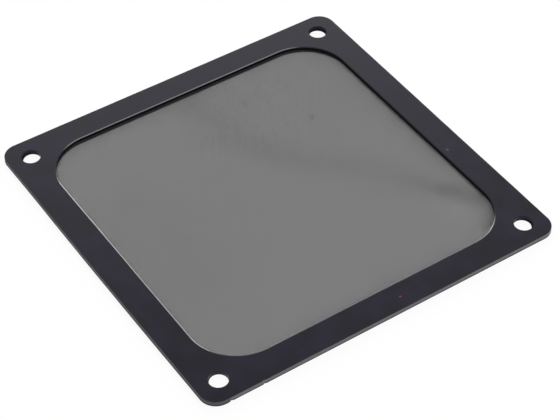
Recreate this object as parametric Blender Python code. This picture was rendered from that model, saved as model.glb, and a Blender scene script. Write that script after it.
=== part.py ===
"""Dust filter for a 120 mm case fan: a die-cut magnetic ring, a woven screen and a thin cover ring.

The two rings share one outline, one window and four screw holes. The screen's border is caught between
them, in a rebate under the magnetic ring. Metres, +Z up. The origin is the middle of the underside.
"""
import math

import bmesh
import bpy

# Outline and window, stamped through the rings
frame_side = 0.1200
corner_radius = 0.0052
border_width = 0.0086
window_corner_radius = 0.0150

# Screw holes, 105 mm apart as on a 120 mm fan
hole_inset = 0.0075
hole_diameter = 0.0056

# Layers, from the top down, with the film of glue between any two of them
magnet_thickness = 0.00127
mesh_wall = 0.00008
mesh_ridge = 0.00008
cover_thickness = 0.00030
glue_line = 0.00003

# Border of the screen, caught in a rebate under the magnetic ring
mesh_lap = 0.0035
lap_clearance = 0.0003

# Rounded arris that the cutting die leaves
magnet_arris = 0.00014
cover_arris = 0.00005

# Weave of the screen, drawn coarse: one gap stands for many
gaps_across = 10
strand_width = 0.0036

# Points on each round
corner_steps = 8
window_corner_steps = 14
hole_steps = 28
arris_steps = 2

# Window and hole pattern worked out from the outline
window_side = frame_side - 2 * border_width
hole_spacing = frame_side - 2 * hole_inset

# Heights worked out from the layers
cover_top = cover_thickness
magnet_bottom = cover_top + glue_line
magnet_top = magnet_bottom + magnet_thickness
mesh_bottom = cover_top + glue_line
mesh_top = mesh_bottom + mesh_wall + 2 * mesh_ridge
rebate_top = mesh_top + glue_line

# Outline of the screen
mesh_side = window_side + 2 * mesh_lap
mesh_corner_radius = window_corner_radius + mesh_lap

# How far a cutter stands past what it cuts, and the turn from which an edge counts as an arris
cutter_reach = 0.0010
arris_turn = math.radians(60)


def clear_scene():
    for old in list(bpy.data.objects):
        bpy.data.objects.remove(old, do_unlink=True)


def make_material(name, colour, roughness):
    material = bpy.data.materials.new(name)
    material.use_nodes = True
    shader = material.node_tree.nodes["Principled BSDF"]
    shader.inputs["Base Color"].default_value = (*colour, 1.0)
    shader.inputs["Roughness"].default_value = roughness
    shader.inputs["Metallic"].default_value = 0.0
    material.diffuse_color = (*colour, 1.0)
    return material


def add_object(name, bm, material=None):
    mesh = bpy.data.meshes.new(name)
    bm.to_mesh(mesh)
    bm.free()
    piece = bpy.data.objects.new(name, mesh)
    bpy.context.scene.collection.objects.link(piece)
    if material is not None:
        mesh.materials.append(material)
    return piece


def rounded_square(side, radius, steps):
    """Corner points of a square with round corners, anticlockwise from the +X side."""
    inner = side / 2 - radius
    points = []
    for corner, (sign_x, sign_y) in enumerate(((1, 1), (-1, 1), (-1, -1), (1, -1))):
        for step in range(steps + 1):
            angle = math.pi / 2 * (corner + step / steps)
            points.append((sign_x * inner + radius * math.cos(angle),
                           sign_y * inner + radius * math.sin(angle)))
    return points


def circle(centre, diameter, steps):
    return [(centre[0] + diameter / 2 * math.cos(2 * math.pi * step / steps),
             centre[1] + diameter / 2 * math.sin(2 * math.pi * step / steps))
            for step in range(steps)]


def add_prism(bm, outline, bottom, top):
    """A straight-sided solid on an outline that runs anticlockwise."""
    low = [bm.verts.new((x, y, bottom)) for x, y in outline]
    high = [bm.verts.new((x, y, top)) for x, y in outline]
    bm.faces.new(list(reversed(low)))
    bm.faces.new(high)
    for i in range(len(outline)):
        bm.faces.new((low[i - 1], low[i], high[i], high[i - 1]))


def hide_cutter(cutter):
    cutter.data.shade_smooth()
    cutter.hide_render = True
    cutter.display_type = "WIRE"
    return cutter


def make_cutter(name, side, radius, top):
    """A prism of a rounded square that stands from under the part up to the given height."""
    bm = bmesh.new()
    outline = rounded_square(side, radius, window_corner_steps)
    add_prism(bm, outline, -cutter_reach, top)
    return hide_cutter(add_object(name, bm))


def make_hole_cutter():
    bm = bmesh.new()
    reach = hole_spacing / 2
    for x in (-reach, reach):
        for y in (-reach, reach):
            outline = circle((x, y), hole_diameter, hole_steps)
            add_prism(bm, outline, -cutter_reach, magnet_top + cutter_reach)
    return hide_cutter(add_object("hole_cutter", bm))


def cut(piece, cutter, operation="DIFFERENCE"):
    modifier = piece.modifiers.new(cutter.name, "BOOLEAN")
    modifier.operation = operation
    modifier.solver = "EXACT"
    modifier.object = cutter


def make_ring(name, bottom, top, arris, material, cutters):
    """A flat ring: the outline with the window and the holes cut out and its arrises rounded."""
    bm = bmesh.new()
    add_prism(bm, rounded_square(frame_side, corner_radius, corner_steps), bottom, top)
    ring = add_object(name, bm, material)
    ring.data.shade_smooth()
    for cutter in cutters:
        cut(ring, cutter)
    rounding = ring.modifiers.new("arris", "BEVEL")
    rounding.width = arris
    rounding.segments = arris_steps
    rounding.limit_method = "ANGLE"
    rounding.angle_limit = arris_turn
    rounding.use_clamp_overlap = True
    ring.modifiers.new("flat_faces", "WEIGHTED_NORMAL")
    return ring


def strand_centres():
    pitch = window_side / gaps_across
    return [-window_side / 2 + strand * pitch for strand in range(gaps_across + 1)]


def make_gap_cutter(window_cutter):
    """A square peg for each gap between four strands, trimmed to the window."""
    bm = bmesh.new()
    centres = strand_centres()
    spans = [(low + strand_width / 2, high - strand_width / 2)
             for low, high in zip(centres, centres[1:])]
    for left, right in spans:
        for front, back in spans:
            outline = ((left, front), (right, front), (right, back), (left, back))
            add_prism(bm, outline, -cutter_reach, magnet_top + cutter_reach)
    pegs = hide_cutter(add_object("gap_cutter", bm))
    cut(pegs, window_cutter, "INTERSECT")
    return pegs


def weave_lines():
    """Grid lines of the screen: three to a strand, and one beyond the frame at each end.

    Each line is its place, the number of its strand and its side of that strand: -1, 0 or 1.
    """
    beyond = frame_side / 2 + cutter_reach
    lines = [(-beyond, None, None)]
    for strand, middle in enumerate(strand_centres()):
        for side in (-1, 0, 1):
            lines.append((middle + side * strand_width / 2, strand, side))
    lines.append((beyond, None, None))
    return lines


def in_border(line):
    """True on the outer side of the outermost strands and beyond them."""
    strand, side = line[1:]
    return strand is None or (strand == 0 and side == -1) or (strand == gaps_across and side == 1)


def ridge_heights(column, row):
    """Height of the upper ridge and depth of the lower one where two grid lines cross."""
    if in_border(column) or in_border(row):
        return mesh_ridge, mesh_ridge
    if column[2] and row[2]:
        return 0.0, 0.0
    if not column[2] and not row[2]:
        return mesh_ridge, mesh_ridge
    x_strand_is_on_top = (column[1] + row[1]) % 2 == 0
    on_x_strand = row[2] == 0
    if on_x_strand == x_strand_is_on_top:
        return mesh_ridge, 0.0
    return 0.0, mesh_ridge


def make_mesh_screen(material, edge_cutter, gap_cutter, hole_cutter):
    """One wall with over and under ridges along every strand, and a gap between each four strands.

    Outside the window it is the flat border that the rings grip.
    """
    bm = bmesh.new()
    lines = weave_lines()
    middle = (mesh_bottom + mesh_top) / 2
    upper = []
    lower = []
    for column in lines:
        heights = [ridge_heights(column, row) for row in lines]
        upper.append([bm.verts.new((column[0], row[0], middle + mesh_wall / 2 + high))
                      for row, (high, low) in zip(lines, heights)])
        lower.append([bm.verts.new((column[0], row[0], middle - mesh_wall / 2 - low))
                      for row, (high, low) in zip(lines, heights)])
    last = len(lines) - 1
    for i in range(last):
        for j in range(last):
            corners = ((i, j), (i + 1, j), (i + 1, j + 1), (i, j + 1))
            bm.faces.new([upper[a][b] for a, b in corners])
            bm.faces.new([lower[a][b] for a, b in reversed(corners)])
        for a, b in (((i, 0), (i + 1, 0)), ((i + 1, last), (i, last)),
                     ((0, i + 1), (0, i)), ((last, i), (last, i + 1))):
            bm.faces.new((lower[a[0]][a[1]], lower[b[0]][b[1]],
                          upper[b[0]][b[1]], upper[a[0]][a[1]]))
    screen = add_object("mesh_screen", bm, material)
    cut(screen, edge_cutter, "INTERSECT")
    cut(screen, gap_cutter)
    cut(screen, hole_cutter)
    return screen


def main():
    clear_scene()
    magnet_rubber = make_material("magnet_rubber", (0.040, 0.037, 0.044), 0.50)
    mesh_thread = make_material("mesh_thread", (0.020, 0.020, 0.021), 0.55)
    cover_film = make_material("cover_film", (0.022, 0.022, 0.024), 0.45)

    above = magnet_top + cutter_reach
    window_cutter = make_cutter("window_cutter", window_side, window_corner_radius, above)
    mesh_edge_cutter = make_cutter("mesh_edge_cutter", mesh_side, mesh_corner_radius, above)
    rebate_cutter = make_cutter("rebate_cutter", mesh_side + 2 * lap_clearance,
                                mesh_corner_radius + lap_clearance, rebate_top)
    gap_cutter = make_gap_cutter(window_cutter)
    hole_cutter = make_hole_cutter()

    make_ring("magnet_frame", magnet_bottom, magnet_top, magnet_arris, magnet_rubber,
              (window_cutter, rebate_cutter, hole_cutter))
    make_mesh_screen(mesh_thread, mesh_edge_cutter, gap_cutter, hole_cutter)
    make_ring("cover_frame", 0.0, cover_top, cover_arris, cover_film,
              (window_cutter, hole_cutter))


main()
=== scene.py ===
"""Dust filter for a 120 mm case fan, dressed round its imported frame.

Metres, +Z up, with the origin in the middle of the underside. The pieces come in the order in which they
are laid together: the film ring, the woven screen, the magnet ring, and the lint that has settled on them.
"""
import math
import random

import bmesh
import bpy
from mathutils import Matrix, Vector
from mathutils.geometry import tessellate_polygon


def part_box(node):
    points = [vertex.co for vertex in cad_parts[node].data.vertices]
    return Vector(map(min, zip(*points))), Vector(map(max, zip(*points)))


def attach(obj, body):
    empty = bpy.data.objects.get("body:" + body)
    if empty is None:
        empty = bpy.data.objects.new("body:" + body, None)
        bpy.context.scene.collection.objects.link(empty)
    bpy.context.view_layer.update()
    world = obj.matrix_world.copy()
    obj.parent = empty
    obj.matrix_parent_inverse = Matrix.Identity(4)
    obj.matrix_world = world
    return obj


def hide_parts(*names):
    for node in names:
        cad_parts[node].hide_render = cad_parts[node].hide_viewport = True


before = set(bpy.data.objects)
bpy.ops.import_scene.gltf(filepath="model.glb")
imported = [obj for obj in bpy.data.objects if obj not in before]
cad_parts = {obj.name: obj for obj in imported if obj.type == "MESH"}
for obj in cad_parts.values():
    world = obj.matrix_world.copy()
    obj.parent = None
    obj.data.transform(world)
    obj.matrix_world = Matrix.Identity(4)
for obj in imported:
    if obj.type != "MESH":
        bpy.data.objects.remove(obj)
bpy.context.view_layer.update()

scene = bpy.context.scene


# Cover ring: a film of black plastic 0.3 mm thick, under the screen and glued to the magnet ring. One die
# stamps the outline of both rings. The film's window and screw holes were cut before, and its window lies
# a little towards -Y. The way of cutting is given here for the two.
film_low, film_high = (corner.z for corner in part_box("cover_frame"))
outline_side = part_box("magnet_frame")[1].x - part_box("magnet_frame")[0].x
outline_radius = 0.0052
window_side = 0.1028
window_radius = 0.0150
film_window_shift = (-0.0001, -0.0006)
film_hole_spacing = 0.1050
film_hole_diameter = 0.00545
film_arris = 0.00003
groove = 0.00007

# Where the edge leaves the die's line: middle x and y, half width, and depth, below 0 where it bulges
left_bulge = ((-0.0600, -0.0050), 0.0420, -0.00018)
film_nicks = (((-0.0531, -0.0600), 0.0005, 0.0004), ((-0.0425, -0.0600), 0.0005, 0.0002))

# The steel rule: the length of its steps, its steps on a round, on half a nick and on a hole, and the
# number of times that each of its slow waves goes round an outline
edge_step = 0.0016
corner_steps = 20
nick_steps = 5
hole_steps = 44
rule_waves = (3, 8, 19, 41)

# The shaded cut finish is the cut drawn much darker as painted shade: on the walls of the window, the
# film's screw holes, the rebate and the grooves between the rings
face_finish, cut_finish, shaded_cut_finish, arris_finish = range(4)
millimetres = 1000       # in a metre


def stamped_outline(side, radius, wander, seed, shift=(0, 0), nicks=(), round_steps=corner_steps):
    """Points of a stamped rounded square, anticlockwise, each with the direction out of the square.

    The steel rule wanders up to this far either side of a line that lies as far inside the square.
    """
    inner = side / 2 - radius
    points = []
    for quarter, (sign_x, sign_y) in enumerate(((1, 1), (-1, 1), (-1, -1), (1, -1))):
        for turn in range(round_steps + 1):
            angle = math.pi / 2 * (quarter + turn / round_steps)
            out = Vector((math.cos(angle), math.sin(angle)))
            points.append((Vector((sign_x, sign_y)) * inner + out * radius, out))
        start, along = points[-1][0], Vector((-out.y, out.x))
        steps = round(2 * inner / edge_step)
        runs = {2 * inner * place / steps for place in range(1, steps)}
        for place, half_width, _ in nicks:
            away = Vector(place) - start
            if abs(away.dot(out)) < half_width:
                runs |= {away.dot(along) + half_width * share / nick_steps
                         for share in range(-nick_steps, nick_steps + 1)}
        points += [(start + along * run, out) for run in sorted(runs)]
    draw = random.Random(seed)
    waves = [(turns, draw.uniform(0, 2 * math.pi)) for turns in rule_waves]
    outline = []
    for point, out in points:
        way = math.atan2(point.y, point.x)
        push = wander * sum(math.sin(turns * way + phase) for turns, phase in waves) / len(waves) - wander
        for place, half_width, depth in nicks:
            push -= depth * max(0.0, 1 - ((point - Vector(place)).length / half_width) ** 2)
        outline.append((point + out * push + Vector(shift), out))
    return outline


def screw_holes(diameter, spacing):
    """The four holes for the fan's screws, each as points with the direction out of the hole."""
    turns = [2 * math.pi * step / hole_steps for step in range(hole_steps)]
    ways = [Vector((math.cos(turn), math.sin(turn))) for turn in turns]
    reach = spacing / 2
    return [[(Vector((x, y)) + way * diameter / 2, way) for way in ways]
            for x in (-reach, reach) for y in (-reach, reach)]


def cut_wall(bm, outline, inward, profile):
    """The wall that the die leaves along one outline, from its lowest rim to its highest.

    The profile gives each rim's inset into the sheet, its height and the finish of the strip above it.
    The strips are smooth along the wall and meet at crisp rims.
    """
    rims = [[bm.verts.new((*(point + out * inward * inset), height)) for point, out in outline]
            for inset, height, finish in profile]
    for low, high, (inset, height, finish) in zip(rims, rims[1:], profile):
        for i in range(len(outline)):
            strip = bm.faces.new((low[i - 1], low[i], high[i], high[i - 1]))
            strip.material_index = finish
            strip.smooth = True
            for edge in strip.edges:
                edge.smooth = edge.smooth and (low[i] in edge.verts) != (low[i - 1] in edge.verts)
    return rims[0], rims[-1]


def flat_face(bm, rims):
    """The rolled face inside its outer rim, less the openings that the other rims go round.

    It is filled in millimetres, because the filling works to a fixed tolerance.
    """
    corners = [corner for rim in rims for corner in rim]
    for triangle in tessellate_polygon([[corner.co * millimetres for corner in rim] for rim in rims]):
        bm.faces.new([corners[i] for i in triangle]).material_index = face_finish


def finished_piece(name, bm, finishes):
    """A piece from its stock, with its faces turned outward and its finishes in their order."""
    bmesh.ops.recalc_face_normals(bm, faces=bm.faces)
    mesh = bpy.data.meshes.new(name)
    bm.to_mesh(mesh)
    bm.free()
    for finish in finishes:
        mesh.materials.append(finish)
    piece = bpy.data.objects.new(name, mesh)
    scene.collection.objects.link(piece)
    return piece


def new_material(name):
    material = bpy.data.materials.new(name)
    material.use_nodes = True
    return material, material.node_tree, material.node_tree.nodes["Principled BSDF"]


def add_node(tree, kind, inputs=None, **settings):
    """A node with its settings, and its inputs given as values or as the sockets that feed them."""
    node = tree.nodes.new(kind)
    for setting, value in settings.items():
        setattr(node, setting, value)
    for name, value in (inputs or {}).items():
        if isinstance(value, bpy.types.NodeSocket):
            tree.links.new(value, node.inputs[name])
        else:
            node.inputs[name].default_value = value
    return node


def reckon(tree, operation, first, *others):
    """What an operation makes of one value, or of several that it takes from left to right."""
    if not others:
        return add_node(tree, "ShaderNodeMath", {0: first}, operation=operation).outputs[0]
    for value in others:
        first = add_node(tree, "ShaderNodeMath", {0: first, 1: value}, operation=operation).outputs[0]
    return first


def sheet_grain():
    """Shader group for rolled sheet: a slow mottle in its colour and the height of its fine skin."""
    tree = bpy.data.node_groups.new("sheet_grain", "ShaderNodeTree")
    for name, default in (("Mottle Size", 0.006), ("Grain Size", 0.0004)):
        socket = tree.interface.new_socket(name, in_out="INPUT", socket_type="NodeSocketFloat")
        socket.default_value = default
    for name in ("Mottle", "Skin"):
        tree.interface.new_socket(name, in_out="OUTPUT", socket_type="NodeSocketFloat")
    given = add_node(tree, "NodeGroupInput").outputs
    put_out = add_node(tree, "NodeGroupOutput").inputs
    place = add_node(tree, "ShaderNodeTexCoord").outputs["Object"]
    mottle = add_node(tree, "ShaderNodeTexNoise", {
        "Vector": place, "Scale": reckon(tree, "DIVIDE", 1.0, given["Mottle Size"]),
        "Detail": 3.0, "Roughness": 0.6})
    skin = add_node(tree, "ShaderNodeTexNoise", {
        "Vector": place, "Scale": reckon(tree, "DIVIDE", 1.0, given["Grain Size"]),
        "Detail": 2.0, "Roughness": 0.55})
    tree.links.new(mottle.outputs["Fac"], put_out["Mottle"])
    tree.links.new(skin.outputs["Fac"], put_out["Skin"])
    return tree


sheet_grain_group = sheet_grain()


def mottled_colour(tree, shader, dark, light, mottle_size, grain_size, ends=(0.0, 1.0)):
    """Colours a shader from dark to light along the sheet's mottle, and gives what the grain puts out."""
    grain = add_node(tree, "ShaderNodeGroup", {"Mottle Size": mottle_size, "Grain Size": grain_size},
                     node_tree=sheet_grain_group).outputs
    ramp = add_node(tree, "ShaderNodeValToRGB", {"Fac": grain["Mottle"]})
    for stop, position, colour in zip(ramp.color_ramp.elements, ends, (dark, light)):
        stop.position = position
        stop.color = (*colour, 1)
    tree.links.new(ramp.outputs["Color"], shader.inputs["Base Color"])
    return grain


# The die was blunt towards -X: where that begins, and from where on the cut is torn
blunt_start, blunt_full = -0.0525, -0.0535


def rolled_sheet(name, dark, light, smooth, rough, mottle_size, grain_size, skin_height, gloss,
                 tint=(1, 1, 1), torn=None):
    """A sheet's finish: its colour and roughness drift with the mottle, and its skin is a bump.

    A cut that is torn is this rough on the side where the die was blunt.
    """
    material, tree, shader = new_material(name)

    # The mottle's noise seldom leaves the middle of its range
    grain = mottled_colour(tree, shader, dark, light, mottle_size, grain_size, ends=(0.35, 0.65))
    roughness = add_node(tree, "ShaderNodeMapRange", {
        "Value": grain["Mottle"], "From Min": 0.3, "From Max": 0.7,
        "To Min": smooth, "To Max": rough}).outputs["Result"]
    if torn:
        place = add_node(tree, "ShaderNodeTexCoord").outputs["Object"]
        side = add_node(tree, "ShaderNodeMapRange", {
            "Value": add_node(tree, "ShaderNodeSeparateXYZ", {0: place}).outputs["X"],
            "From Min": blunt_full, "From Max": blunt_start, "To Min": torn, "To Max": 0.0})
        roughness = reckon(tree, "MAXIMUM", roughness, side.outputs["Result"])
    tree.links.new(roughness, shader.inputs["Roughness"])
    bump = add_node(tree, "ShaderNodeBump", {"Height": grain["Skin"], "Distance": skin_height,
                                             "Strength": 1.0})
    tree.links.new(bump.outputs["Normal"], shader.inputs["Normal"])
    shader.inputs["Specular IOR Level"].default_value = gloss
    shader.inputs["Specular Tint"].default_value = (*tint, 1)
    return material


film_face = rolled_sheet(
    "film_face", dark=(0.0110, 0.0110, 0.0118), light=(0.0170, 0.0170, 0.0180), smooth=0.38, rough=0.50,
    mottle_size=0.009, grain_size=0.0003, skin_height=0.000004, gloss=0.40)
film_edge = rolled_sheet(
    "film_edge", dark=(0.045, 0.044, 0.048), light=(0.075, 0.073, 0.078), smooth=0.40, rough=0.55,
    mottle_size=0.003, grain_size=0.0002, skin_height=0.00001, gloss=0.60, torn=0.85)
# The film's cut again, much darker, as painted shade on the walls of its window and screw holes and in its
# groove
film_shaded_cut = rolled_sheet(
    "film_shaded_cut", dark=(0.0040, 0.0040, 0.0046), light=(0.0064, 0.0064, 0.0072), smooth=0.50, rough=0.62,
    mottle_size=0.003, grain_size=0.0002, skin_height=0.00001, gloss=0.12)


def film_profile(finish):
    """The film's cut, with a groove along the top, where the magnet ring lies on it, drawn dark as painted
    shade.
    """
    return ((film_arris, film_low, finish), (0, film_low + film_arris, finish),
            (0, film_high - groove, shaded_cut_finish), (groove, film_high, None))


film_outline = stamped_outline(outline_side, outline_radius, wander=0.00002, seed=11,
                               nicks=(left_bulge, *film_nicks))
film_window = stamped_outline(window_side, window_radius, wander=0.00002, seed=12, shift=film_window_shift)
film_stock = bmesh.new()
film_rims = [cut_wall(film_stock, film_outline, -1, film_profile(cut_finish))]
for opening in (film_window, *screw_holes(film_hole_diameter, film_hole_spacing)):
    film_rims.append(cut_wall(film_stock, opening, 1, film_profile(shaded_cut_finish)))
for rims in zip(*film_rims):
    flat_face(film_stock, rims)
cover_ring = finished_piece("cover_ring", film_stock, (film_face, film_edge, film_shaded_cut))
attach(cover_ring, "root")
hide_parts("cover_frame")


# Screen: black monofilament woven at about 170 threads to the inch, one set of threads along X and
# one along Y. It is cut larger than the window, lies in the rebate of the magnet ring, and was laid
# slightly loose, so it keeps a few low buckles.
screen_low, screen_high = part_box("mesh_screen")
screen_side = screen_high.x - screen_low.x
screen_radius = 0.0185
screen_level = 0.00045
thread_pitch = 0.00015
thread_diameter = 0.0000498
thread_steps = 20

# How far each set lies off the middle of the cloth, as a share of a thread's diameter
thread_bed = 0.3

# Buckles and strips of painted shade: middle x and y, direction, half length, half width, rise of the
# cloth, and how much thicker its threads are drawn, which makes the cloth darker there. Only the rise fades
# out towards the window's edge.
buckles_and_shade_strips = (
    (0.0000, 0.0480, -95, 0.0060, 0.0050, 0.00006, 0.080),
    (0.0020, 0.0330, -95, 0.0110, 0.0060, 0.00016, 0.055),
    (0.0080, 0.0160, -65, 0.0120, 0.0050, 0.00014, 0.075),
    (0.0200, 0.0010, -46, 0.0120, 0.0050, 0.00014, 0.070),
    (0.0330, -0.0140, -48, 0.0110, 0.0055, 0.00016, 0.060),
    (0.0385, -0.0224, -49, 0.0060, 0.0030, 0.00010, 0.090),
    (0.0437, -0.0289, -49, 0.0052, 0.0022, 0.00016, 0.250),
    (0.0478, -0.0348, -62, 0.0050, 0.0026, 0.00012, 0.170),
    (0.0370, -0.0380, -55, 0.0090, 0.0050, -0.00012, -0.020),
    # The next four have no rise: painted shade along the window's +X and -Y edges and the corner between
    # them
    (0.0500, 0.0050, 90, 0.0400, 0.0026, 0.0, 0.080),
    (0.0508, -0.0400, 78, 0.0060, 0.0022, 0.0, 0.190),
    (0.0470, -0.0470, 45, 0.0070, 0.0022, 0.0, 0.330),
    (0.0000, -0.0512, 0, 0.0500, 0.0022, 0.0, 0.140),
    (-0.0400, -0.0150, 90, 0.0450, 0.0200, -0.00010, 0.045),
)
buckle_fade = 0.010


def buckle_and_shade_group():
    """Node group for a low buckle in the cloth, and for a strip of painted shade: 1 along its middle,
    fading to 0 all round.
    """
    tree = bpy.data.node_groups.new("buckle", "GeometryNodeTree")
    for name, kind in (("Position", "Vector"), ("Middle", "Vector"), ("Direction", "Float"),
                       ("Half Length", "Float"), ("Half Width", "Float")):
        tree.interface.new_socket(name, in_out="INPUT", socket_type="NodeSocket" + kind)
    tree.interface.new_socket("Height", in_out="OUTPUT", socket_type="NodeSocketFloat")
    given = add_node(tree, "NodeGroupInput").outputs
    put_out = add_node(tree, "NodeGroupOutput").inputs
    away = add_node(tree, "ShaderNodeVectorMath", {0: given["Position"], 1: given["Middle"]},
                    operation="SUBTRACT").outputs[0]
    turned = add_node(tree, "ShaderNodeVectorRotate", {"Vector": away, "Angle": given["Direction"]},
                      rotation_type="Z_AXIS", invert=True).outputs[0]
    split = add_node(tree, "ShaderNodeSeparateXYZ", {0: turned}).outputs
    squares = [reckon(tree, "POWER", reckon(tree, "DIVIDE", split[axis], given[size]), 2.0)
               for axis, size in (("X", "Half Length"), ("Y", "Half Width"))]
    fall = reckon(tree, "MULTIPLY", reckon(tree, "ADD", *squares), -1.0)
    tree.links.new(reckon(tree, "EXPONENT", fall), put_out["Height"])
    return tree


def woven_screen():
    """Node group for the whole screen: two sets of threads, set to length, laid over the buckles, and drawn
    thicker in the buckles and in the strips of painted shade.
    """
    tree = bpy.data.node_groups.new("woven_screen", "GeometryNodeTree")
    tree.interface.new_socket("Geometry", in_out="INPUT", socket_type="NodeSocketGeometry")
    for name in ("Side", "Corner Radius", "Pitch", "Thread Diameter", "Level"):
        tree.interface.new_socket(name, in_out="INPUT", socket_type="NodeSocketFloat")
    tree.interface.new_socket("Steps", in_out="INPUT", socket_type="NodeSocketInt")
    tree.interface.new_socket("Thread", in_out="INPUT", socket_type="NodeSocketMaterial")
    tree.interface.new_socket("Geometry", in_out="OUTPUT", socket_type="NodeSocketGeometry")
    given = add_node(tree, "NodeGroupInput").outputs
    put_out = add_node(tree, "NodeGroupOutput").inputs

    # Threads side by side along X
    half = reckon(tree, "DIVIDE", given["Side"], 2.0)
    threads = reckon(tree, "FLOOR", reckon(tree, "DIVIDE", given["Side"], given["Pitch"]))
    first = reckon(tree, "MULTIPLY", reckon(tree, "SUBTRACT", threads, 1.0), given["Pitch"], -0.5)
    start = add_node(tree, "ShaderNodeCombineXYZ", {"X": first}).outputs[0]
    stride = add_node(tree, "ShaderNodeCombineXYZ", {"X": given["Pitch"]}).outputs[0]
    row = add_node(tree, "GeometryNodeMeshLine", {"Count": threads, "Start Location": start,
                                                  "Offset": stride}, mode="OFFSET").outputs[0]
    line = add_node(tree, "GeometryNodeCurvePrimitiveLine", {"Start": (0, -1, 0), "End": (0, 1, 0)})
    thread = add_node(tree, "GeometryNodeResampleCurve", {
        "Curve": line.outputs[0], "Count": reckon(tree, "ADD", given["Steps"], 1.0)}).outputs[0]

    # Each is as long as the rounded outline lets it be
    place = add_node(tree, "GeometryNodeInputPosition").outputs[0]
    split = add_node(tree, "ShaderNodeSeparateXYZ", {0: place}).outputs
    across = reckon(tree, "ABSOLUTE", split["X"])
    inner = reckon(tree, "SUBTRACT", half, given["Corner Radius"])
    over = reckon(tree, "MAXIMUM", reckon(tree, "SUBTRACT", across, inner), 0.0)
    squared = reckon(tree, "SUBTRACT",
                     reckon(tree, "MULTIPLY", given["Corner Radius"], given["Corner Radius"]),
                     reckon(tree, "MULTIPLY", over, over))
    reach = reckon(tree, "ADD", inner, reckon(tree, "SQRT", reckon(tree, "MAXIMUM", squared, 0.0)))
    size = add_node(tree, "ShaderNodeCombineXYZ", {"X": 1.0, "Y": reach, "Z": 1.0}).outputs[0]
    laid = add_node(tree, "GeometryNodeInstanceOnPoints", {"Points": row, "Instance": thread,
                                                           "Scale": size}).outputs[0]
    one_set = add_node(tree, "GeometryNodeRealizeInstances", {0: laid}).outputs[0]

    # The other set is the first one turned, and passes over it
    both = add_node(tree, "GeometryNodeJoinGeometry")
    for side, turn in ((1, math.pi / 2), (-1, 0)):
        off = reckon(tree, "MULTIPLY", given["Thread Diameter"], side * thread_bed)
        moved = add_node(tree, "GeometryNodeTransform", {
            "Geometry": one_set, "Rotation": (0, 0, turn),
            "Translation": add_node(tree, "ShaderNodeCombineXYZ", {"Z": off}).outputs[0]})
        tree.links.new(moved.outputs[0], both.inputs[0])

    # Buckles lift the cloth and thicken its threads, and the strips of painted shade only thicken them.
    # Only the lift fades out before the border that the rings grip.
    thread_thickening = 1.0
    rise = 0.0
    for x, y, direction, half_length, half_width, lift, thickening in buckles_and_shade_strips:
        buckle = add_node(tree, "GeometryNodeGroup", {
            "Position": place, "Middle": (x, y, 0), "Direction": math.radians(direction),
            "Half Length": half_length, "Half Width": half_width}, node_tree=buckle_and_shade_nodes).outputs[0]
        rise = reckon(tree, "ADD", reckon(tree, "MULTIPLY", buckle, lift), rise)
        thread_thickening = reckon(tree, "ADD", reckon(tree, "MULTIPLY", buckle, thickening), thread_thickening)
    fades = [add_node(tree, "ShaderNodeMapRange", {
        "Value": reckon(tree, "ABSOLUTE", split[axis]), "To Min": 1.0, "To Max": 0.0,
        "From Min": window_side / 2 - buckle_fade, "From Max": window_side / 2},
        interpolation_type="SMOOTHSTEP").outputs["Result"] for axis in ("X", "Y")]
    height = reckon(tree, "ADD", reckon(tree, "MULTIPLY", rise, *fades), given["Level"])
    lifted = add_node(tree, "GeometryNodeSetPosition", {
        "Geometry": both.outputs[0],
        "Offset": add_node(tree, "ShaderNodeCombineXYZ", {"Z": height}).outputs[0]})

    # A three-sided thread is round enough at this size
    profile = add_node(tree, "GeometryNodeCurvePrimitiveCircle", {"Resolution": 3, "Radius": 1.0})
    drawn = add_node(tree, "GeometryNodeCurveToMesh", {
        "Curve": lifted.outputs[0], "Profile Curve": profile.outputs[0], "Fill Caps": True,
        "Scale": reckon(tree, "MULTIPLY", given["Thread Diameter"], 0.5, thread_thickening)})
    smooth = add_node(tree, "GeometryNodeSetShadeSmooth", {0: drawn.outputs[0]})
    real = add_node(tree, "GeometryNodeRealizeInstances", {0: smooth.outputs[0]})
    done = add_node(tree, "GeometryNodeSetMaterial", {"Geometry": real.outputs[0],
                                                      "Material": given["Thread"]})
    tree.links.new(done.outputs[0], put_out[0])
    return tree


def thread_material():
    """Drawn black nylon: nearly even, with the sheen of the monofilament drifting along the cloth."""
    material, tree, shader = new_material("screen_thread")
    grain = mottled_colour(tree, shader, (0.028, 0.0275, 0.032), (0.040, 0.0395, 0.045),
                           mottle_size=0.008, grain_size=0.0002)
    shine = add_node(tree, "ShaderNodeMapRange", {"Value": grain["Skin"], "To Min": 0.42, "To Max": 0.58})
    tree.links.new(shine.outputs["Result"], shader.inputs["Roughness"])
    return material


def baked(piece, name):
    """The finished mesh of a piece as a new plain object, with what made it thrown away."""
    graph = bpy.context.evaluated_depsgraph_get()
    mesh = bpy.data.meshes.new_from_object(piece.evaluated_get(graph), depsgraph=graph)
    bpy.data.objects.remove(piece, do_unlink=True)
    mesh.name = name
    done = bpy.data.objects.new(name, mesh)
    scene.collection.objects.link(done)
    return done


buckle_and_shade_nodes = buckle_and_shade_group()
screen = bpy.data.objects.new("screen_seed", bpy.data.meshes.new("screen_seed"))
scene.collection.objects.link(screen)
weaving = screen.modifiers.new("weaving", "NODES")
weaving.node_group = woven_screen()
sizes = {"Side": screen_side, "Corner Radius": screen_radius, "Pitch": thread_pitch,
         "Thread Diameter": thread_diameter, "Level": screen_level, "Steps": thread_steps,
         "Thread": thread_material()}
for item in weaving.node_group.interface.items_tree:
    if item.in_out == "INPUT" and item.name in sizes:
        weaving[item.identifier] = sizes[item.name]
dust_screen = baked(screen, "dust_screen")
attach(dust_screen, "root")
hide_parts("mesh_screen")


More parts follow.
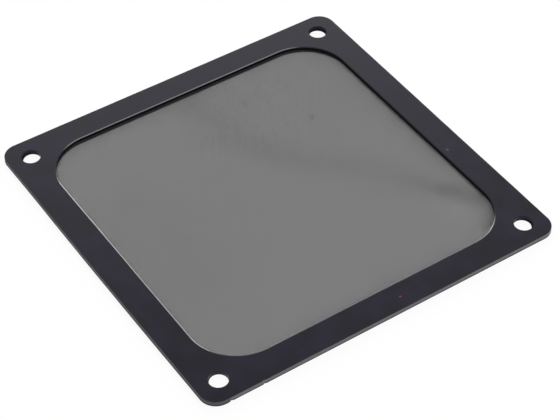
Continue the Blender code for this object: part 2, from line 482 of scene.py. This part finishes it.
# Magnet ring: flexible magnet sheet 1.27 mm thick, ferrite powder in rubber, rolled to a black satin
# face and stamped. The cut shows the paler powder. The underside has a rebate for the screen's border,
# and round it the film ring is glued on.
magnet_low, magnet_high = (corner.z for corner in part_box("magnet_frame"))
rebate_gap = 0.0003
rebate_top = 0.0006
magnet_window_side = 0.10225
magnet_window_shift = (0.000165, 0.000315)
magnet_window_steps = 34
magnet_hole_spacing = 0.1054
magnet_hole_diameter = 0.0058
magnet_nick = ((-0.0428, -0.0600), 0.0005, 0.00015)

magnet_face = rolled_sheet(
    "magnet_face", dark=(0.0048, 0.0041, 0.0078), light=(0.0072, 0.0049, 0.0152), smooth=0.36, rough=0.43,
    mottle_size=0.008, grain_size=0.0005, skin_height=0.000016, gloss=0.20, tint=(0.98, 0.96, 1.12))
magnet_cut = rolled_sheet(
    "magnet_cut", dark=(0.045, 0.043, 0.048), light=(0.080, 0.077, 0.084), smooth=0.36, rough=0.46,
    mottle_size=0.003, grain_size=0.0002, skin_height=0.00001, gloss=1.0, torn=0.85)
# The magnet's cut again, much darker and less glossy, as painted shade on the window's wall, the rebate and
# the groove
magnet_shaded_cut = rolled_sheet(
    "magnet_shaded_cut", dark=(0.0045, 0.0043, 0.0054), light=(0.0070, 0.0067, 0.0084), smooth=0.50,
    rough=0.62, mottle_size=0.003, grain_size=0.0002, skin_height=0.00001, gloss=0.12)
magnet_arris = rolled_sheet(
    "magnet_arris", dark=(0.005, 0.005, 0.007), light=(0.009, 0.008, 0.012), smooth=0.17, rough=0.23,
    mottle_size=0.003, grain_size=0.0002, skin_height=0.000002, gloss=0.60)

# The press rolls the upper arris over along the window, wide and shallow, and hardly elsewhere
window_roll_width, window_roll_depth = 0.00030, 0.00014
hole_roll_width, hole_roll_depth = 0.00005, 0.00006
outer_roll = 0.00006
# The window's wall and the groove under the outline take the shaded cut finish, and the screw holes' walls
# the face's dark finish, both as painted shade
window_profile = ((0, rebate_top, shaded_cut_finish), (0, magnet_high - window_roll_depth, arris_finish),
                  (window_roll_width, magnet_high, None))
hole_profile = ((0, magnet_low, face_finish), (0, magnet_high - hole_roll_depth, face_finish),
                (hole_roll_width, magnet_high, None))
outline_profile = ((groove, magnet_low, shaded_cut_finish), (0, magnet_low + groove, cut_finish),
                   (0, magnet_high - outer_roll, cut_finish), (outer_roll, magnet_high, None))
rebate_profile = ((0, magnet_low, shaded_cut_finish), (0, rebate_top, None))

magnet_outline = stamped_outline(outline_side, outline_radius, wander=0.00003, seed=23,
                                 nicks=(left_bulge, magnet_nick))
magnet_window = stamped_outline(magnet_window_side, window_radius, wander=0.00003, seed=24,
                                shift=magnet_window_shift, round_steps=magnet_window_steps)
rebate = stamped_outline(screen_side + 2 * rebate_gap, screen_radius + rebate_gap, wander=0.00001, seed=25)
magnet_stock = bmesh.new()
outline_rims = cut_wall(magnet_stock, magnet_outline, -1, outline_profile)
window_rims = cut_wall(magnet_stock, magnet_window, 1, window_profile)
rebate_rims = cut_wall(magnet_stock, rebate, 1, rebate_profile)
hole_rims = [cut_wall(magnet_stock, hole, 1, hole_profile)
             for hole in screw_holes(magnet_hole_diameter, magnet_hole_spacing)]
flat_face(magnet_stock, (outline_rims[1], window_rims[1], *(upper for lower, upper in hole_rims)))
flat_face(magnet_stock, (rebate_rims[1], window_rims[0]))
flat_face(magnet_stock, (outline_rims[0], rebate_rims[0], *(lower for lower, upper in hole_rims)))
magnet_ring = finished_piece("magnet_ring", magnet_stock,
                             (magnet_face, magnet_cut, magnet_shaded_cut, magnet_arris))
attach(magnet_ring, "root")
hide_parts("magnet_frame")


# Lint: what has settled on the filter. One grey fibre and a few dark tufts lie on the screen, and two
# flat flakes stick to the magnet ring, a reddish one in front and a pale one to the right.
cloth_top = screen_level + 0.00008
dark_lint, red_lint, pale_lint = range(3)

# The fibre's path, and its strands: how far each lies aside, and its thickness
fibre_path = ((0.0152, 0.0401), (0.0148, 0.0393), (0.0145, 0.0384), (0.0141, 0.0375), (0.0141, 0.0367),
              (0.0145, 0.0358))
fibre_strands = ((-0.00015, 0.00007), (0.00000, 0.00009), (0.00015, 0.00007))
strand_slant = 0.6

# Tufts: middle, radius, number of fibres, their thickness, and seed
tufts = (
    ((0.0287, 0.0209), 0.0018, 13, 0.000034, 41),
    ((-0.0382, 0.0222), 0.0010, 7, 0.000042, 42),
    ((-0.0400, -0.0133), 0.0009, 6, 0.000042, 43),
    ((-0.0384, -0.0130), 0.0008, 4, 0.000040, 44),
)

# A tuft's fibres: their points, the most they bend in radians, how far from the middle they start, the
# range of their steps, how high they rise in thicknesses, and how far they are pulled back to the middle
tuft_points = 6
tuft_bend = 1.2
tuft_spread = 0.6
tuft_steps = (0.18, 0.30)
tuft_rise = 1.5
tuft_pull = 0.4

# Flakes: middle, length, width, turn, finish, and seed
flakes = (
    ((0.0057, -0.0559), 0.00085, 0.00060, 30, red_lint, 45),
    ((0.0534, -0.0154), 0.00090, 0.00085, 10, pale_lint, 46),
)
flake_lift = 0.000010
flake_half_height = 0.000024
flake_raggedness = 0.16


def lint_material(name, dark, light):
    """Dust and fibre: dull, with a colour and a nap that change over a few tenths of a millimetre."""
    material, tree, shader = new_material(name)
    grain = mottled_colour(tree, shader, dark, light, mottle_size=0.0003, grain_size=0.0001)
    bump = add_node(tree, "ShaderNodeBump", {"Height": grain["Skin"], "Distance": 0.00001})
    tree.links.new(bump.outputs["Normal"], shader.inputs["Normal"])
    shader.inputs["Roughness"].default_value = 0.9
    shader.inputs["Specular IOR Level"].default_value = 0.2
    return material


def fibre(bm, points, thickness, finish, sides=4, taper=0.6):
    """A closed round strand through the points, thinner at its ends."""
    rings = []
    for i, point in enumerate(points):
        along = (points[min(i + 1, len(points) - 1)] - points[max(i - 1, 0)]).normalized()
        across = along.cross(Vector((0, 0, 1))).normalized()
        above = across.cross(along)
        radius = thickness / 2 * (taper if i in (0, len(points) - 1) else 1.0)
        rings.append([bm.verts.new(point + (across * math.cos(turn) + above * math.sin(turn)) * radius)
                      for turn in (2 * math.pi * side / sides for side in range(sides))])
    faces = [bm.faces.new(rings[0]), bm.faces.new(list(reversed(rings[-1])))]
    for low, high in zip(rings, rings[1:]):
        faces += [bm.faces.new((low[i - 1], high[i - 1], high[i], low[i])) for i in range(sides)]
    for face in faces:
        face.material_index = finish
        face.smooth = len(face.verts) == 4


def tuft(bm, middle, radius, fibres, thickness, seed):
    """Loose curled fibres that cross each other round a place on the cloth, pulled in towards it."""
    draw = random.Random(seed)
    middle = Vector((*middle, cloth_top))
    for _ in range(fibres):
        heading = draw.uniform(0, 2 * math.pi)
        bend = draw.uniform(-tuft_bend, tuft_bend)
        away = draw.uniform(0, 2 * math.pi)
        start = Vector((math.cos(away), math.sin(away), 0)) * radius * draw.random() * tuft_spread
        point = middle + start
        step = radius * draw.uniform(*tuft_steps)
        points = []
        for _ in range(tuft_points):
            points.append(point.copy())
            heading += bend / (tuft_points - 1)
            point = point + Vector((math.cos(heading), math.sin(heading), 0)) * step
            point.z = cloth_top + thickness * draw.uniform(0.0, tuft_rise)
        off = sum(points, Vector()) / len(points) - middle
        off.z = 0
        fibre(bm, [point - off * tuft_pull for point in points], thickness, dark_lint)


def flake(bm, middle, length, width, turn, finish, seed):
    """A flat flake with a broken outline, stuck to the magnet ring's face."""
    draw = random.Random(seed)
    made = bmesh.ops.create_icosphere(bm, subdivisions=2, radius=1.0)["verts"]
    lean = Matrix.Rotation(math.radians(turn), 4, "Z")
    seat = Vector((*middle, magnet_high + flake_lift))
    for corner in made:
        ragged = corner.co * (1 + draw.uniform(-flake_raggedness, flake_raggedness))
        corner.co = seat + lean @ Vector((ragged.x * length / 2, ragged.y * width / 2,
                                          ragged.z * flake_half_height))
    for face in {face for corner in made for face in corner.link_faces}:
        face.material_index = finish


lint_stock = bmesh.new()
for aside, thickness in fibre_strands:
    strand = [Vector((x + aside, y - aside * strand_slant, cloth_top)) for x, y in fibre_path]
    fibre(lint_stock, strand, thickness, pale_lint)
for middle, radius, fibres, thickness, seed in tufts:
    tuft(lint_stock, middle, radius, fibres, thickness, seed)
for middle, length, width, turn, finish, seed in flakes:
    flake(lint_stock, middle, length, width, turn, finish, seed)
lint = finished_piece("lint", lint_stock, (
    lint_material("lint_dark", (0.008, 0.008, 0.009), (0.020, 0.019, 0.020)),
    lint_material("lint_red", (0.130, 0.030, 0.042), (0.200, 0.058, 0.070)),
    lint_material("lint_pale", (0.070, 0.069, 0.068), (0.110, 0.108, 0.105))))
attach(lint, "root")


# Table: a plain white sheet that cameras and mirrors see white. Outside the window it has a painted glow,
# which only they see and which washes out most of the filter's shadow, so it keeps only a faint one.
# Under the screen the glow is shut off.
table_size = 6.0
table_white = 0.80
table_glow = 0.85

# How far outside the window the painted glow begins, and where it is full
glow_start, glow_full = 0.001, 0.004


def table_material():
    """White board, which is brighter to the camera, with a painted glow outside the window."""
    material, tree, shader = new_material("table_white")
    path = add_node(tree, "ShaderNodeLightPath").outputs
    seen = reckon(tree, "MAXIMUM", path["Is Camera Ray"], path["Is Glossy Ray"],
                  path["Is Transmission Ray"])

    # How far a place lies outside the window
    place = add_node(tree, "ShaderNodeTexCoord").outputs["Object"]
    inner = window_side / 2 - window_radius
    for operation, operand in (("ABSOLUTE", None), ("SUBTRACT", (inner, inner, 0)), ("MAXIMUM", (0, 0, 0))):
        inputs = {0: place} if operand is None else {0: place, 1: operand}
        place = add_node(tree, "ShaderNodeVectorMath", inputs, operation=operation).outputs[0]
    reach = add_node(tree, "ShaderNodeVectorMath", {0: place}, operation="LENGTH").outputs["Value"]
    outside = add_node(tree, "ShaderNodeMapRange", {
        "Value": reach, "From Min": window_radius + glow_start, "From Max": window_radius + glow_full})
    lit = reckon(tree, "MULTIPLY", seen, outside.outputs["Result"])

    white = add_node(tree, "ShaderNodeMapRange", {"Value": seen, "To Min": table_white, "To Max": 1.0})
    dimmed = add_node(tree, "ShaderNodeMapRange", {"Value": lit, "To Min": 1.0, "To Max": 1 - table_glow})
    colour = reckon(tree, "MULTIPLY", white.outputs["Result"], dimmed.outputs["Result"])
    tree.links.new(colour, shader.inputs["Base Color"])
    shader.inputs["Emission Color"].default_value = (1, 1, 1, 1)
    tree.links.new(reckon(tree, "MULTIPLY", lit, table_glow), shader.inputs["Emission Strength"])
    shader.inputs["Roughness"].default_value = 1.0
    shader.inputs["Specular IOR Level"].default_value = 0.0
    return material


table_mesh = bpy.data.meshes.new("table")
table_mesh.from_pydata([(x * table_size / 2, y * table_size / 2, 0)
                        for x, y in ((-1, -1), (1, -1), (1, 1), (-1, 1))], [], [(0, 1, 2, 3)])
table_mesh.materials.append(table_material())
table = bpy.data.objects.new("table", table_mesh)
scene.collection.objects.link(table)


# Light: an even white room, soft lamps overhead and in front, and three low ones behind and to the right.
# Each lamp is a disc that faces the filter.
room_light = 0.45
world = bpy.data.worlds.new("studio")
world.use_nodes = True
world.node_tree.nodes["Background"].inputs["Color"].default_value = (1, 1, 1, 1)
world.node_tree.nodes["Background"].inputs["Strength"].default_value = room_light
scene.world = world

# Lamps: name, way towards the lamp, distance, width, height, and watts
lamps = (
    ("overhead", (0.39, -0.07, 0.92), 1.2, 0.60, 0.60, 3.4),
    ("front", (-0.45, -0.35, 0.82), 1.4, 0.60, 0.60, 5.0),
    ("low_right", (0.774, 0.589, 0.180), 1.4, 0.72, 0.40, 3.8),
    ("low_behind", (0.200, 0.954, 0.222), 1.4, 0.50, 0.50, 3.0),
    ("behind", (0.449, 0.812, 0.372), 1.4, 1.00, 1.00, 5.4),
)
for name, towards, distance, width, height, watts in lamps:
    lamp = bpy.data.lights.new(name, "AREA")
    lamp.shape = "ELLIPSE"
    lamp.size = width
    lamp.size_y = height
    lamp.energy = watts
    holder = bpy.data.objects.new(name, lamp)
    direction = Vector(towards).normalized()
    holder.location = direction * distance
    holder.rotation_euler = direction.to_track_quat("Z", "Y").to_euler()
    scene.collection.objects.link(holder)


# Camera: the view of the photograph, with a long lens from the front left, 45 degrees up. It was fitted to
# the four corners of the outline and the four screw holes.
camera_place = (-0.2165, -0.32854, 0.38523)
camera_heading, camera_dip, camera_roll = -33.697, 44.920, -0.237
camera = bpy.data.objects.new("camera", bpy.data.cameras.new("camera"))
camera.data.sensor_width = 36.0
camera.data.lens = 119.02
camera.data.clip_start = 0.01
camera.matrix_world = (Matrix.Translation(camera_place)
                       @ Matrix.Rotation(math.radians(camera_heading), 4, "Z")
                       @ Matrix.Rotation(math.radians(90 - camera_dip), 4, "X")
                       @ Matrix.Rotation(math.radians(camera_roll), 4, "Z"))
scene.collection.objects.link(camera)
scene.camera = camera
scene.view_settings.view_transform = "Standard"
